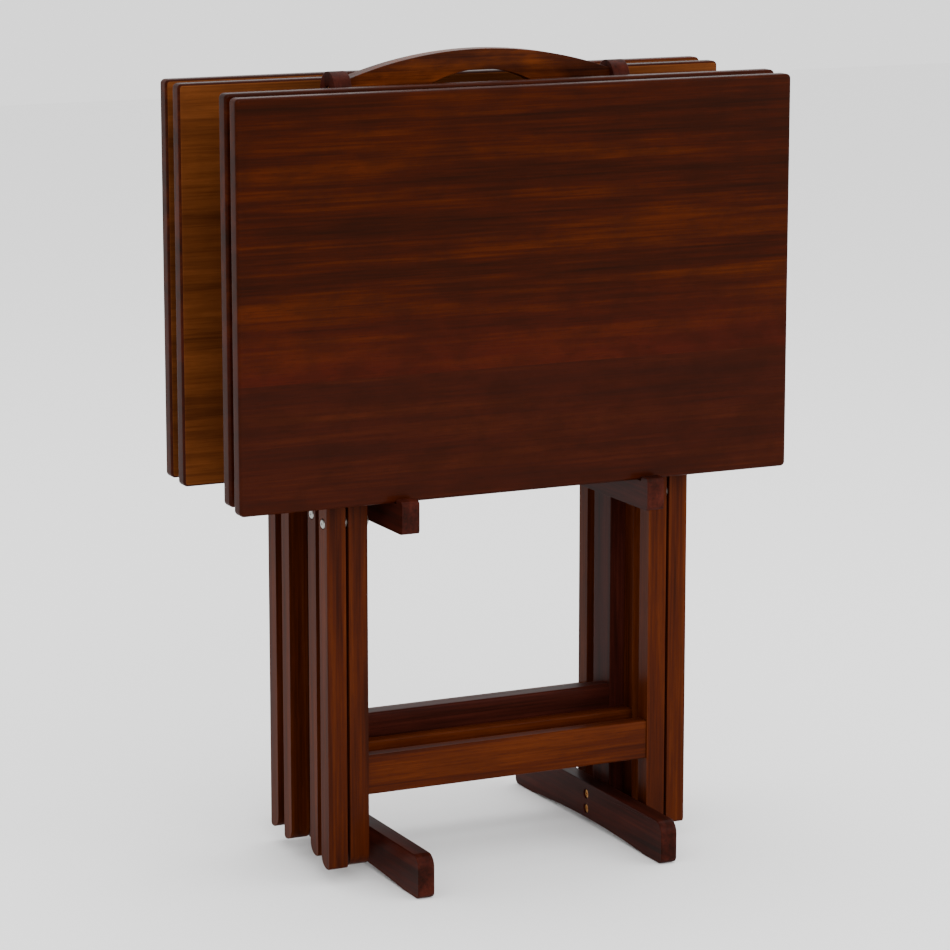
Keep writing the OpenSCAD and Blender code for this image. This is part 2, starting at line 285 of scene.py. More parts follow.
def add_node(
    tree: bpy.types.NodeTree, kind: str, inputs: dict[str | int, object], **settings: object
) -> bpy.types.Node:
    """Adds a shader node.

    Args:
        tree: The material's node tree.
        kind: The node's type name.
        inputs: What each input is linked to or set to.
        settings: The node's own settings.

    Returns:
        The new node.
    """
    made = tree.nodes.new(kind)
    for key, value in settings.items():
        setattr(made, key, value)
    for key, value in inputs.items():
        if isinstance(value, bpy.types.NodeSocket):
            tree.links.new(value, made.inputs[key])
        else:
            made.inputs[key].default_value = value
    return made


def new_material(name: str) -> tuple[bpy.types.Material, bpy.types.NodeTree]:
    """Makes an empty node material and returns it with its tree."""
    material = bpy.data.materials.new(name)
    material.use_nodes = True
    tree = material.node_tree
    tree.nodes.clear()
    return material, tree


def dress(obj: bpy.types.Object, material: bpy.types.Material) -> None:
    """Gives a piece one material all over."""
    obj.data.materials.clear()
    obj.data.materials.append(material)


@dataclass(frozen=True)
class StainedWood:
    """Rubberwood stained and sprayed with lacquer.

    The stain soaks into the open pores as short dark dashes and lies unevenly
    between the growth bands, so the tone drifts along the fibres. The lacquer
    gives an even gloss over it.
    """

    name: str
    dark: str
    mid: str
    light: str
    roughness: float
    lacquer: float
    lacquer_roughness: float = 0.18
    # Real lacquer is near 1.5. This is fitted: under an even white sky, 1.5
    # turns the side faces grey.
    film_ior: float = 1.07
    band_width: float = 22 * MM
    band_length: float = 420 * MM
    streak_width: float = 2.4 * MM
    streak_length: float = 110 * MM
    # Real pores are 0.2 mm wide; they are drawn at 0.9 mm so that they show.
    pore_width: float = 0.9 * MM
    pore_length: float = 14 * MM
    blotch_size: float = 22 * MM
    blotch: float = 0.18
    pores: float = 0.3
    # How much of the figure is fine streaks and not broad bands.
    streak_share: float = 0.38
    ramp_low: float = 0.36
    ramp_middle: float = 0.50
    ramp_high: float = 0.66
    pore_relief: float = 0.3 * MM
    # How strongly the two planks of a glued tray take their own tone.
    band_share: float = 0.55
    lower_share: float = 0.5
    band_start: float = 8 * MM
    band_end: float = 75 * MM
    glue_line_width: float = 0.3 * MM
    glue_line: float | None = None
    lower_tone: str = "#2A0D06"
    band_tone: str = "#380E05"

    def material(self, grain: Grain, seed: int) -> bpy.types.Material:
        """Makes this wood for one grain direction.

        Args:
            grain: The direction of the fibres.
            seed: Picks another part of the plank, so no two pieces match.

        Returns:
            The material.
        """
        name = f"{self.name}_{grain.name.lower()}_{seed}"
        known = bpy.data.materials.get(name)
        if known:
            return known
        material, tree = new_material(name)
        place = add_node(tree, "ShaderNodeTexCoord", {}).outputs["Object"]
        if self.glue_line is not None:
            place = self._shift_lower_plank(tree, place)
        band = self._noise(tree, place, grain, seed, self.band_width, self.band_length, 3.0)
        streak = self._noise(
            tree, place, grain, seed + 3, self.streak_width, self.streak_length, 4.0
        )
        pore = self._noise(tree, place, grain, seed + 7, self.pore_width, self.pore_length, 1.0)
        blotch = self._noise(
            tree, place, grain, seed + 11, self.blotch_size, self.blotch_size * 2, 3.0
        )
        tone = add_node(
            tree,
            "ShaderNodeMix",
            {"Factor": self.streak_share, "A": band, "B": streak},
            data_type="FLOAT",
        ).outputs["Result"]
        ramp = add_node(tree, "ShaderNodeValToRGB", {"Fac": tone})
        stops = ramp.color_ramp
        stops.elements[0].position = self.ramp_low
        stops.elements[0].color = linear(self.dark)
        stops.elements[1].position = self.ramp_high
        stops.elements[1].color = linear(self.light)
        stops.elements.new(self.ramp_middle).color = linear(self.mid)
        colour = ramp.outputs["Color"]
        if self.glue_line is not None:
            colour = self._tint_planks(tree, colour)
        colour = self._darken(tree, colour, blotch, 0.42, 0.62, self.blotch)
        colour = self._darken(tree, colour, pore, 0.60, 0.68, self.pores)
        gloss = add_node(
            tree,
            "ShaderNodeMapRange",
            {
                "Value": streak,
                "From Min": 0.3,
                "From Max": 0.7,
                "To Min": self.roughness - 0.05,
                "To Max": self.roughness + 0.07,
            },
        ).outputs["Result"]
        height = add_node(
            tree,
            "ShaderNodeBump",
            {"Height": pore, "Strength": 0.10, "Distance": self.pore_relief},
        ).outputs["Normal"]
        skin = add_node(
            tree,
            "ShaderNodeBsdfPrincipled",
            {
                "Base Color": colour,
                "Roughness": gloss,
                "Normal": height,
                "IOR": self.film_ior,
                "Coat Weight": self.lacquer,
                "Coat Roughness": self.lacquer_roughness,
            },
        )
        add_node(tree, "ShaderNodeOutputMaterial", {"Surface": skin.outputs["BSDF"]})
        return material

    def _noise(
        self,
        tree: bpy.types.NodeTree,
        place: bpy.types.NodeSocket,
        grain: Grain,
        seed: int,
        width: float,
        length: float,
        detail: float,
    ) -> bpy.types.NodeSocket:
        """Draws noise stretched along the fibres, at real sizes in metres."""
        scale = [1 / width] * 3
        scale[grain.value] = 1 / length
        mapped = add_node(
            tree,
            "ShaderNodeMapping",
            {"Vector": place, "Location": (seed * 1.37, seed * 2.11, seed * 0.73), "Scale": scale},
        ).outputs["Vector"]
        return add_node(
            tree,
            "ShaderNodeTexNoise",
            {
                "Vector": mapped,
                "Scale": 1.0,
                "Detail": detail,
                "Roughness": 0.55,
                "Distortion": 0.25,
            },
        ).outputs["Fac"]

    def _darken(
        self,
        tree: bpy.types.NodeTree,
        colour: bpy.types.NodeSocket,
        mask: bpy.types.NodeSocket,
        start: float,
        end: float,
        amount: float,
    ) -> bpy.types.NodeSocket:
        """Darkens the colour where a mask rises from start to end."""
        factor = add_node(
            tree,
            "ShaderNodeMapRange",
            {"Value": mask, "From Min": start, "From Max": end, "To Min": 0.0, "To Max": amount},
        ).outputs["Result"]
        return add_node(
            tree,
            "ShaderNodeMix",
            {"Factor": factor, "A": colour, "B": linear(self.dark)},
            data_type="RGBA",
        ).outputs["Result"]

    def _above_glue_line(
        self, tree: bpy.types.NodeTree, place: bpy.types.NodeSocket, start: float, end: float
    ) -> bpy.types.NodeSocket:
        """Gives 0 at a height start over the glue line and 1 at a height end."""
        height = add_node(tree, "ShaderNodeSeparateXYZ", {"Vector": place}).outputs["Z"]
        return add_node(
            tree,
            "ShaderNodeMapRange",
            {
                "Value": height,
                "From Min": self.glue_line + start,
                "From Max": self.glue_line + end,
                "To Min": 0.0,
                "To Max": 1.0,
            },
        ).outputs["Result"]

    def _shift_lower_plank(
        self, tree: bpy.types.NodeTree, place: bpy.types.NodeSocket
    ) -> bpy.types.NodeSocket:
        """Moves the figure of the plank under the glue line, so it doesn't run on."""
        upper = self._above_glue_line(tree, place, 0.0, self.glue_line_width)
        shift = add_node(tree, "ShaderNodeCombineXYZ", {"X": upper, "Y": upper}).outputs["Vector"]
        return add_node(
            tree, "ShaderNodeVectorMath", {0: place, 1: shift}, operation="ADD"
        ).outputs["Vector"]

    def _tint_planks(
        self, tree: bpy.types.NodeTree, colour: bpy.types.NodeSocket
    ) -> bpy.types.NodeSocket:
        """Reddens the band over the glue line and evens the plank under it."""
        place = add_node(tree, "ShaderNodeTexCoord", {}).outputs["Object"]
        above = self._above_glue_line(tree, place, self.band_start, self.band_end)
        red = add_node(
            tree,
            "ShaderNodeMapRange",
            {
                "Value": above,
                "From Min": 0.0,
                "From Max": 1.0,
                "To Min": self.band_share,
                "To Max": 0.0,
            },
        ).outputs["Result"]
        banded = add_node(
            tree,
            "ShaderNodeMix",
            {"Factor": red, "A": colour, "B": linear(self.band_tone)},
            data_type="RGBA",
        ).outputs["Result"]
        lower = add_node(
            tree,
            "ShaderNodeMix",
            {"Factor": self.lower_share, "A": colour, "B": linear(self.lower_tone)},
            data_type="RGBA",
        ).outputs["Result"]
        upper = self._above_glue_line(tree, place, 0.0, self.glue_line_width)
        return add_node(
            tree,
            "ShaderNodeMix",
            {"Factor": upper, "A": lower, "B": banded},
            data_type="RGBA",
        ).outputs["Result"]


@dataclass(frozen=True)
class PlatedMetal:
    """Turned steel with a thin plating, bright with a fine turned texture."""

    name: str
    colour: str
    roughness: float

    def material(self) -> bpy.types.Material:
        """Makes the metal once, and returns it again after that."""
        known = bpy.data.materials.get(self.name)
        if known:
            return known
        material, tree = new_material(self.name)
        place = add_node(tree, "ShaderNodeTexCoord", {}).outputs["Object"]
        # Tool marks are 0.1 mm apart; 0.6 mm is the finest that still shows.
        marks = add_node(
            tree,
            "ShaderNodeTexNoise",
            {"Vector": place, "Scale": 1 / (0.6 * MM), "Detail": 2.0},
        ).outputs["Fac"]
        rough = add_node(
            tree,
            "ShaderNodeMapRange",
            {
                "Value": marks,
                "To Min": self.roughness - 0.06,
                "To Max": self.roughness + 0.08,
            },
        ).outputs["Result"]
        skin = add_node(
            tree,
            "ShaderNodeBsdfPrincipled",
            {"Base Color": linear(self.colour), "Metallic": 1.0, "Roughness": rough},
        )
        add_node(tree, "ShaderNodeOutputMaterial", {"Surface": skin.outputs["BSDF"]})
        return material


# Rubberwood under a very dark red-brown gloss lacquer: near black with red in it.
TRAY_FACE = StainedWood(
    "tray_face_lacquered_rubberwood",
    dark="#1C0701",
    mid="#2C0B01",
    light="#3F1602",
    roughness=0.34,
    lacquer=0.04,
    glue_line=0.483,
    blotch=0.35,
)
# The trays' undersides carry one thin coat of stain: lighter, orange and matt.
TRAY_BACK = StainedWood(
    "tray_back_thin_stained_rubberwood",
    dark="#3E1E0C",
    mid="#552C12",
    light="#673819",
    roughness=0.5,
    lacquer=0.0,
    blotch=0.3,
)
# Legs and rails are stained after machining: middle brown with a satin lacquer.
LEG_WOOD = StainedWood(
    "leg_satin_rubberwood",
    dark="#270D05",
    mid="#3C1606",
    light="#4D210A",
    roughness=0.36,
    lacquer=0.03,
    band_width=12 * MM,
    band_length=300 * MM,
)
# The stand's wood is a shade darker and greyer than the legs'.
STAND_WOOD = StainedWood(
    "stand_satin_rubberwood",
    dark="#1C0A06",
    mid="#2E100A",
    light="#3E1810",
    roughness=0.34,
    lacquer=0.03,
    band_width=16 * MM,
    band_length=260 * MM,
)
# The handle shows broad flame figure under the same lacquer.
HANDLE_WOOD = StainedWood(
    "handle_figured_rubberwood",
    dark="#1F0A04",
    mid="#3C1706",
    light="#5E2A0B",
    roughness=0.3,
    lacquer=0.06,
    band_width=26 * MM,
    band_length=70 * MM,
    blotch=0.4,
)
BRASS_SCREW = PlatedMetal("yellow_zinc_plated_screw", "#C08A4A", 0.34)
ZINC_BOLT = PlatedMetal("zinc_plated_bolt", "#8F8E8A", 0.34)


# ---- pieces -----------------------------------------------------------------


@dataclass
class Assembly:
    """A group of pieces that share a way of being recorded."""

    made: list[str] = field(default_factory=list)

    def finish_piece(
        self,
        obj: bpy.types.Object,
        body: str,
        material: bpy.types.Material,
        slot: str,
        *nodes: str,
    ) -> None:
        """Dresses a piece, sets it on its body and swaps it for its CAD nodes.

        Args:
            obj: The finished mesh.
            body: The body that carries it.
            material: Its material.
            slot: Not used.
            nodes: The CAD nodes it stands for.
        """
        dress(obj, material)
        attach(obj, body)
        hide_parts(*nodes)
        self.made.append(obj.name)
        LOG.info("made %s on %s (%d faces)", obj.name, body, len(obj.data.polygons))


@dataclass
class Stand(Assembly):
    """Two posts on arched feet, with lipped arms, a stretcher and a handle."""

    body: str = "stand"
    foot_end_radius: float = 12 * MM
    foot_toe_radius: float = 6 * MM
    foot_arch: float = 5 * MM
    foot_pad: float = 35 * MM
    seat_height: float = 364.5 * MM
    lip_length: float = 13.3 * MM
    handle_rise: float = 23 * MM
    slot_length: float = 132 * MM
    slot_height: float = 25 * MM
    slot_cover: float = 19 * MM
    slot_arch_radius: float = 118 * MM
    screw_head_radius: float = 4.5 * MM
    screw_sink: float = 1.5 * MM
    screw_head_depth: float = 3 * MM
    foot_screw_heights: tuple[float, float] = (14 * MM, 29 * MM)
    arm_screw_depths: tuple[float, float] = (-9 * MM, 9 * MM)
    # How far the handle screws' tips stay from the middle, and their drop.
    handle_screw_tip: float = 115.5 * MM
    handle_screw_drop: float = 18 * MM
    # The drill for a handle screw's head starts inside or outside the post.
    post_drill_inside: float = 4.5 * MM
    post_drill_outside: float = 5.5 * MM
    post_drill_depth: float = 10 * MM
    recess_gap: float = 0.1 * MM
    shank_radius: float = 2.25 * MM
    screw_rim: float = 0.6 * MM
    cross_reach: float = 2.6 * MM
    cross_half_width: float = 0.55 * MM
    cross_depth: float = 1.3 * MM
    arm_end_radius: float = 4 * MM
    stretcher_round: float = 2.5 * MM
    post_edge: float = 2.2 * MM
    foot_edge: float = 2.0 * MM
    arm_edge: float = 1.4 * MM
    stretcher_edge: float = 0.4 * MM
    handle_edge: float = 4.0 * MM

    def build(self) -> None:
        """Builds every piece of the stand."""
        for side in Side:
            self.post(side)
            self.foot(side)
            self.arm(side)
        self.stretcher()
        self.handle()
        self.screws()

    def post(self, side: Side) -> None:
        """Builds a post with a half-round top and a recess for its screw."""
        name = f"post_{side.name.lower()}"
        low, high = node_box(name)
        obj = add_block(f"{name}_wood", low, high)
        radius = (high.y - low.y) / 2 - HALF_ROUND_SLACK
        round_edges(
            obj, lambda a, b: at(a.z, high.z) and at(b.z, high.z) and at(a.y, b.y), radius, 14
        )
        centre = Vector((high.x - self.post_drill_inside, 0.0, high.z - self.handle_screw_drop))
        if side is Side.LEFT:
            centre.x = low.x - self.post_drill_outside
        drill(obj, centre, self.post_drill_depth, self.screw_head_radius + self.recess_gap)
        soften(obj, self.post_edge, 4)
        self.finish_piece(
            obj, self.body, STAND_WOOD.material(Grain.ALONG_Z, 1 + side.value), "stand_wood", name
        )

    def foot(self, side: Side) -> None:
        """Builds a foot: rounded ends, an arched underside and two screw recesses."""
        name = f"foot_{side.name.lower()}"
        low, high = node_box(name)
        obj = add_block(f"{name}_wood", low, high)
        for z, radius in ((high.z, self.foot_end_radius), (low.z, self.foot_toe_radius)):
            round_edges(
                obj,
                lambda a, b, z=z: at(a.z, z) and at(b.z, z) and not at(a.x, b.x),
                radius,
                8,
            )
        half = high.y - self.foot_pad
        radius = (half * half + self.foot_arch**2) / (2 * self.foot_arch)
        arch = add_round(
            "arch",
            Vector((low.x - OVERCUT, 0.0, self.foot_arch - radius)),
            high.x - low.x + 2 * OVERCUT,
            radius,
            Grain.ALONG_X,
            360,
        )
        cut(obj, arch)
        for z in self.foot_screw_heights:
            self.recess(obj, side, 0.0, z, low, high)
        soften(obj, self.foot_edge, 3)
        self.finish_piece(
            obj, self.body, STAND_WOOD.material(Grain.ALONG_Y, 3 + side.value), "stand_wood", name
        )

    def recess(
        self,
        obj: bpy.types.Object,
        side: Side,
        y: float,
        z: float,
        low: Vector,
        high: Vector,
    ) -> None:
        """Sinks a screw recess into a piece's inner face."""
        depth = self.screw_sink + self.screw_head_depth
        start = low.x - OVERCUT if side is Side.RIGHT else high.x - depth
        drill(
            obj,
            Vector((start, y, z)),
            depth + OVERCUT,
            self.screw_head_radius + self.recess_gap,
        )

    def arm(self, side: Side) -> None:
        """Builds an arm with a raised lip at each end of its seat."""
        name = f"arm_{side.name.lower()}"
        low, high = node_box(name)
        high.z = node_box("arm_lips")[1].z
        obj = add_block(f"{name}_wood", low, high)
        round_edges(obj, lambda a, b: at(a.y, b.y) and at(a.z, b.z), self.arm_end_radius, 5)
        seat = add_block(
            "seat",
            Vector((low.x - OVERCUT, low.y + self.lip_length, self.seat_height)),
            Vector((high.x + OVERCUT, high.y - self.lip_length, high.z + OVERCUT)),
        )
        cut(obj, seat)
        for y in self.arm_screw_depths:
            self.recess(obj, side, y, (low.z + self.seat_height) / 2, low, high)
        # The drilled side is one many-cornered face, so it is split up first.
        apply_modifier(obj, "TRIANGULATE")
        soften(obj, self.arm_edge, 3)
        self.finish_piece(
            obj,
            self.body,
            STAND_WOOD.material(Grain.ALONG_Y, 7 + side.value),
            "stand_wood",
            name,
            "arm_lips",
        )

    def stretcher(self) -> None:
        """Builds the stretcher between the posts."""
        low, high = node_box("stand_stretcher")
        obj = add_block("stand_stretcher_wood", low, high)
        round_edges(obj, lambda a, b: at(a.y, b.y) and at(a.z, b.z), self.stretcher_round, 4)
        soften(obj, self.stretcher_edge, 2)
        self.finish_piece(
            obj, self.body, STAND_WOOD.material(Grain.ALONG_X, 12), "stand_wood", "stand_stretcher"
        )

    def handle(self) -> None:
        """Builds the arched handle with its finger slot."""
        low, high = node_box("carry_handle")
        obj = add_block("carry_handle_wood", low, high)
        half = high.x
        radius = (half * half + self.handle_rise**2) / (2 * self.handle_rise)
        thick = high.y - low.y
        keep_inside(
            obj,
            add_round(
                "crown",
                Vector((0.0, low.y - OVERCUT, high.z - radius)),
                thick + 2 * OVERCUT,
                radius,
                Grain.ALONG_Y,
                360,
            ),
        )
        top = high.z - self.slot_cover
        slot = add_block(
            "slot",
            Vector((-self.slot_length / 2, low.y - 2 * OVERCUT, top - self.slot_height)),
            Vector((self.slot_length / 2, high.y + 2 * OVERCUT, top)),
        )
        round_edges(
            slot, lambda a, b: not at(a.y, b.y), self.slot_height / 2 - HALF_ROUND_SLACK, 8
        )
        keep_inside(
            slot,
            add_round(
                "slot_arch",
                Vector((0.0, low.y - 3 * OVERCUT, top - self.slot_arch_radius)),
                thick + 6 * OVERCUT,
                self.slot_arch_radius,
                Grain.ALONG_Y,
                180,
            ),
        )
        cut(obj, slot)
        soften(obj, self.handle_edge, 5)
        self.finish_piece(
            obj, self.body, HANDLE_WOOD.material(Grain.ALONG_X, 15), "stand_wood", "carry_handle"
        )

    def screw(self, name: str, head: Vector, side: Side, length: float) -> bpy.types.Object:
        """Builds a cross-recessed screw along X.

        Args:
            name: The new object's name.
            head: The middle of the head's face.
            side: Which way the shank points.
            length: The screw's whole length.

        Returns:
            The screw.
        """
        way = side.value
        depth = self.screw_head_depth
        start = head.copy()
        start.x = head.x if way > 0 else head.x - depth
        top = add_round(name, start, depth, self.screw_head_radius, Grain.ALONG_X, 40)
        round_edges(
            top, lambda a, b: at(a.x, head.x) and at(b.x, head.x), self.screw_rim, 3
        )
        reach, half_width = self.cross_reach, self.cross_half_width
        for half_y, half_z in ((reach, half_width), (half_width, reach)):
            spread = Vector((self.cross_depth, half_y, half_z))
            cut(top, add_block("cross", head - spread, head + spread))
        shank_start = head.copy()
        shank_start.x = head.x + depth if way > 0 else head.x - length
        shank = add_round(
            "shank", shank_start, length - depth, self.shank_radius, Grain.ALONG_X, 24
        )
        screw = join([top, shank], name)
        make_active(screw)
        bpy.ops.object.shade_smooth_by_angle(angle=math.radians(30))
        return screw

    def screws(self) -> None:
        """Builds the screws of the feet, the arms and the handle."""
        metal = BRASS_SCREW.material()
        feet = [
            self.screw("foot_screw", Vector((x, 0.0, z)), side, length)
            for side, x, length in self._ends("foot_screws")
            for z in self.foot_screw_heights
        ]
        self.finish_piece(
            join(feet, "foot_screws_metal"), self.body, metal, "screw_brass", "foot_screws"
        )
        low, high = node_box("arm_screws")
        arms = [
            self.screw("arm_screw", Vector((x, y, (low.z + high.z) / 2)), side, length)
            for side, x, length in self._ends("arm_screws")
            for y in self.arm_screw_depths
        ]
        self.finish_piece(
            join(arms, "arm_screws_metal"), self.body, metal, "screw_brass", "arm_screws"
        )
        low, high = node_box("handle_screws")
        z = (low.z + high.z) / 2
        length = (high.x - low.x) / 2 - self.handle_screw_tip
        ends = [
            self.screw("handle_screw", Vector((high.x, 0.0, z)), Side.LEFT, length),
            self.screw("handle_screw", Vector((low.x, 0.0, z)), Side.RIGHT, length),
        ]
        self.finish_piece(
            join(ends, "handle_screws_metal"), self.body, metal, "screw_brass", "handle_screws"
        )

    def _ends(self, node: str) -> list[tuple[Side, float, float]]:
        """Returns for each side a screw's direction, head face and length."""
        tip = node_box(node)[1].x
        wood, _ = node_box("foot_right" if node == "foot_screws" else "arm_right")
        face = wood.x + self.screw_sink
        return [(Side.RIGHT, face, tip - face), (Side.LEFT, -face, tip - face)]


@dataclass
class TrayTable(Assembly):
    """One folding tray table: a tray on two pairs of crossing legs."""

    number: int = 1
    tray_corner_radius: float = 4.5 * MM
    tray_edge_radius: float = 3 * MM
    cleat_width: float = 18 * MM
    cleat_end_radius: float = 6 * MM
    leg_foot_radius: float = 12 * MM
    leg_toe_radius: float = 3.5 * MM
    hole_radius: float = 3.05 * MM
    bolt_radius: float = 3 * MM
    head_radius: float = 4.5 * MM
    head_height: float = 3 * MM
    notch_radius: float = 7.3 * MM
    head_sink: float = 2 * MM
    head_gap: float = 0.6 * MM
    nut_radius: float = 5.5 * MM
    washer_width: float = 2.9 * MM
    head_dome: float = 1.8 * MM
    cross_reach: float = 1.7 * MM
    cross_half_width: float = 0.4 * MM
    cross_depth: float = 1.2 * MM
    # The running gap between a nut and its inner leg.
    nut_gap: float = 0.1 * MM
    # How far a pivot bolt stops short of its leg's inner face.
    pivot_stop: float = 1 * MM
    rail_round: float = 2.0 * MM
    cleat_edge: float = 1.2 * MM
    catch_edge: float = 0.8 * MM
    leg_edge: float = 1.5 * MM
    nut_edge: float = 0.4 * MM
    fine_edge: float = 0.3 * MM

    @property
    def faces_back(self) -> bool:
        """True for the two tables that hang behind the stand."""
        return self.number > 2

    @property
    def stowed_whole(self) -> bool:
        """True for the inner tables, whose pieces are one body."""
        return self.number in (2, 3)

    def node(self, part: str) -> str:
        """Returns the CAD node's name for one of this table's parts."""
        return f"table_{self.number}_{part}"

    def body(self, group: str) -> str:
        """Returns the body that carries the frame, the inner legs or the top."""
        return self.node("folded") if self.stowed_whole else self.node(group)

    def seed(self, offset: int) -> int:
        """Returns a number that differs for every table and piece."""
        return 20 * self.number + offset

    def rod_centre(self) -> Vector:
        """Returns the middle of the top rod, which lies on the pivots' axis."""
        low, high = node_box(self.node("top_rod"))
        return (low + high) / 2

    def crossing_height(self) -> float:
        """Returns the height of the crossing bolts."""
        low, high = node_box(self.node("crossing_bolts"))
        return (low.z + high.z) / 2

    def build(self) -> None:
        """Builds every piece of the table."""
        self.tray()
        self.cleats()
        self.catches()
        for side in Side:
            self.leg("outer", side)
            self.leg("inner", side)
        self.stretcher()
        self.rod()
        self.crossing_bolts()
        self.washers()
        self.pivot_bolts()

    def tray(self) -> None:
        """Builds the tray, lacquered dark on its face and lightly stained behind."""
        low, high = node_box(self.node("tabletop"))
        obj = add_block(self.node("tray"), low, high)
        round_edges(obj, lambda a, b: not at(a.y, b.y), self.tray_corner_radius, 6)
        soften(obj, self.tray_edge_radius, 4)
        self.finish_piece(
            obj,
            self.body("top"),
            TRAY_FACE.material(Grain.ALONG_X, self.seed(0)),
            "tray_lacquer",
            self.node("tabletop"),
        )
        obj.data.materials.append(TRAY_BACK.material(Grain.ALONG_X, self.seed(1)))
        back = -1.0 if self.faces_back else 1.0
        for face in obj.data.polygons:
            if face.normal.y * back > 0.9:
                face.material_index = 1

    def cleats(self) -> None:
        """Builds the two cleats that carry the pivots."""
        centre = self.rod_centre()
        parts = []
        for side in Side:
            low, high = half_box(self.node("cleats"), side, self.cleat_width)
            part = add_block("cleat", low, high)
            free = low.y if self.faces_back else high.y
            round_edges(
                part,
                lambda a, b, free=free: at(a.y, free) and at(b.y, free) and at(a.z, b.z),
                self.cleat_end_radius,
                6,
            )
            drill(
                part,
                Vector((low.x - OVERCUT, centre.y, centre.z)),
                high.x - low.x + 2 * OVERCUT,
                self.hole_radius,
            )
            soften(part, self.cleat_edge, 3)
            parts.append(part)
        self.finish_piece(
            join(parts, self.node("cleat_pair")),
            self.body("top"),
            TRAY_BACK.material(Grain.ALONG_Z, self.seed(2)),
            "under_wood",
            self.node("cleats"),
        )

    def catches(self) -> None:
        """Builds the two notched blocks that hold the rod of an open table."""
        centre = self.rod_centre()
        parts = []
        for side in Side:
            low, high = half_box(self.node("catches"), side, self.cleat_width)
            part = add_block("catch", low, high)
            z = (low.z + high.z) / 2
            notch = add_round(
                "notch",
                Vector((low.x - OVERCUT, centre.y, z)),
                high.x - low.x + 2 * OVERCUT,
                self.notch_radius,
                Grain.ALONG_X,
                40,
            )
            cut(part, notch)
            mouth_low = Vector((low.x - OVERCUT, centre.y, z - self.notch_radius))
            mouth_high = Vector((high.x + OVERCUT, high.y + OVERCUT, z + self.notch_radius))
            if self.faces_back:
                mouth_low.y, mouth_high.y = low.y - OVERCUT, centre.y
            cut(part, add_block("mouth", mouth_low, mouth_high))
            soften(part, self.catch_edge, 2)
            parts.append(part)
        self.finish_piece(
            join(parts, self.node("catch_pair")),
            self.body("top"),
            TRAY_BACK.material(Grain.ALONG_Z, self.seed(3)),
            "under_wood",
            self.node("catches"),
        )

    def leg(self, pair: str, side: Side) -> None:
        """Builds a leg.

        Args:
            pair: "outer" or "inner".
            side: Which of the pair.
        """
        name = self.node(f"{pair}_leg_{side.name.lower()}")
        low, high = node_box(name)
        obj = add_block(f"{name}_wood", low, high)
        mid_y = (low.y + high.y) / 2
        worn_back = (pair == "outer") is not self.faces_back
        radius = (high.y - low.y) / 2 - HALF_ROUND_SLACK
        round_edges(
            obj, lambda a, b: at(a.z, high.z) and at(b.z, high.z) and at(a.y, b.y), radius, 12
        )
        worn_y, other_y = (high.y, low.y) if worn_back else (low.y, high.y)
        for corner, foot_radius in (
            (worn_y, self.leg_foot_radius),
            (other_y, self.leg_toe_radius),
        ):
            round_edges(
                obj,
                lambda a, b, y=corner: (
                    at(a.z, low.z) and at(b.z, low.z) and at(a.y, y) and at(b.y, y)
                ),
                foot_radius,
                8,
            )
        wide = high.x - low.x + 2 * OVERCUT
        start = low.x - OVERCUT
        drill(obj, Vector((start, mid_y, self.crossing_height())), wide, self.hole_radius)
        if pair == "outer":
            drill(obj, Vector((start, mid_y, self.rod_centre().z)), wide, self.hole_radius)
            mouth = high.x - self.head_sink if side is Side.RIGHT else start
            drill(
                obj,
                Vector((mouth, mid_y, self.crossing_height())),
                self.head_sink + OVERCUT,
                self.head_radius + self.head_gap,
            )
        soften(obj, self.leg_edge, 3)
        offset = 4 + side.value + (2 if pair == "outer" else 6)
        self.finish_piece(
            obj,
            self.body("frame" if pair == "outer" else "inner"),
            LEG_WOOD.material(Grain.ALONG_Z, self.seed(offset)),
            "leg_wood",
            name,
        )

    def stretcher(self) -> None:
        """Builds the stretcher between the inner legs."""
        low, high = node_box(self.node("stretcher"))
        obj = add_block(self.node("rail"), low, high)
        round_edges(obj, lambda a, b: at(a.y, b.y) and at(a.z, b.z), self.rail_round, 4)
        soften(obj, self.fine_edge, 2)
        self.finish_piece(
            obj,
            self.body("inner"),
            LEG_WOOD.material(Grain.ALONG_X, self.seed(14)),
            "leg_wood",
            self.node("stretcher"),
        )

    def rod(self) -> None:
        """Builds the round rod between the tops of the inner legs."""
        low, high = node_box(self.node("top_rod"))
        centre = self.rod_centre()
        obj = add_round(
            self.node("rod"),
            Vector((low.x, centre.y, centre.z)),
            high.x - low.x,
            (high.z - low.z) / 2,
            Grain.ALONG_X,
        )
        soften(obj, self.fine_edge, 2)
        self.finish_piece(
            obj,
            self.body("inner"),
            LEG_WOOD.material(Grain.ALONG_X, self.seed(15)),
            "leg_wood",
            self.node("top_rod"),
        )

    def bolt_head(self, face: float, side: Side, y: float, z: float) -> bpy.types.Object:
        """Builds a domed head with a cross recess, standing on a face.

        Args:
            face: Where the head's flat underside lies along X.
            side: Which way the dome points.
            y: The head's middle along Y.
            z: The head's middle along Z.

        Returns:
            The head.
        """
        way = side.value
        start = face if way > 0 else face - self.head_height
        obj = add_round(
            "head",
            Vector((start, y, z)),
            self.head_height,
            self.head_radius,
            Grain.ALONG_X,
            40,
        )
        outer = face + way * self.head_height
        round_edges(obj, lambda a, b: at(a.x, outer) and at(b.x, outer), self.head_dome, 6)
        reach, half_width = self.cross_reach, self.cross_half_width
        crown = Vector((outer, y, z))
        for half_y, half_z in ((reach, half_width), (half_width, reach)):
            spread = Vector((self.cross_depth, half_y, half_z))
            cut(obj, add_block("cross", crown - spread, crown + spread))
        return obj

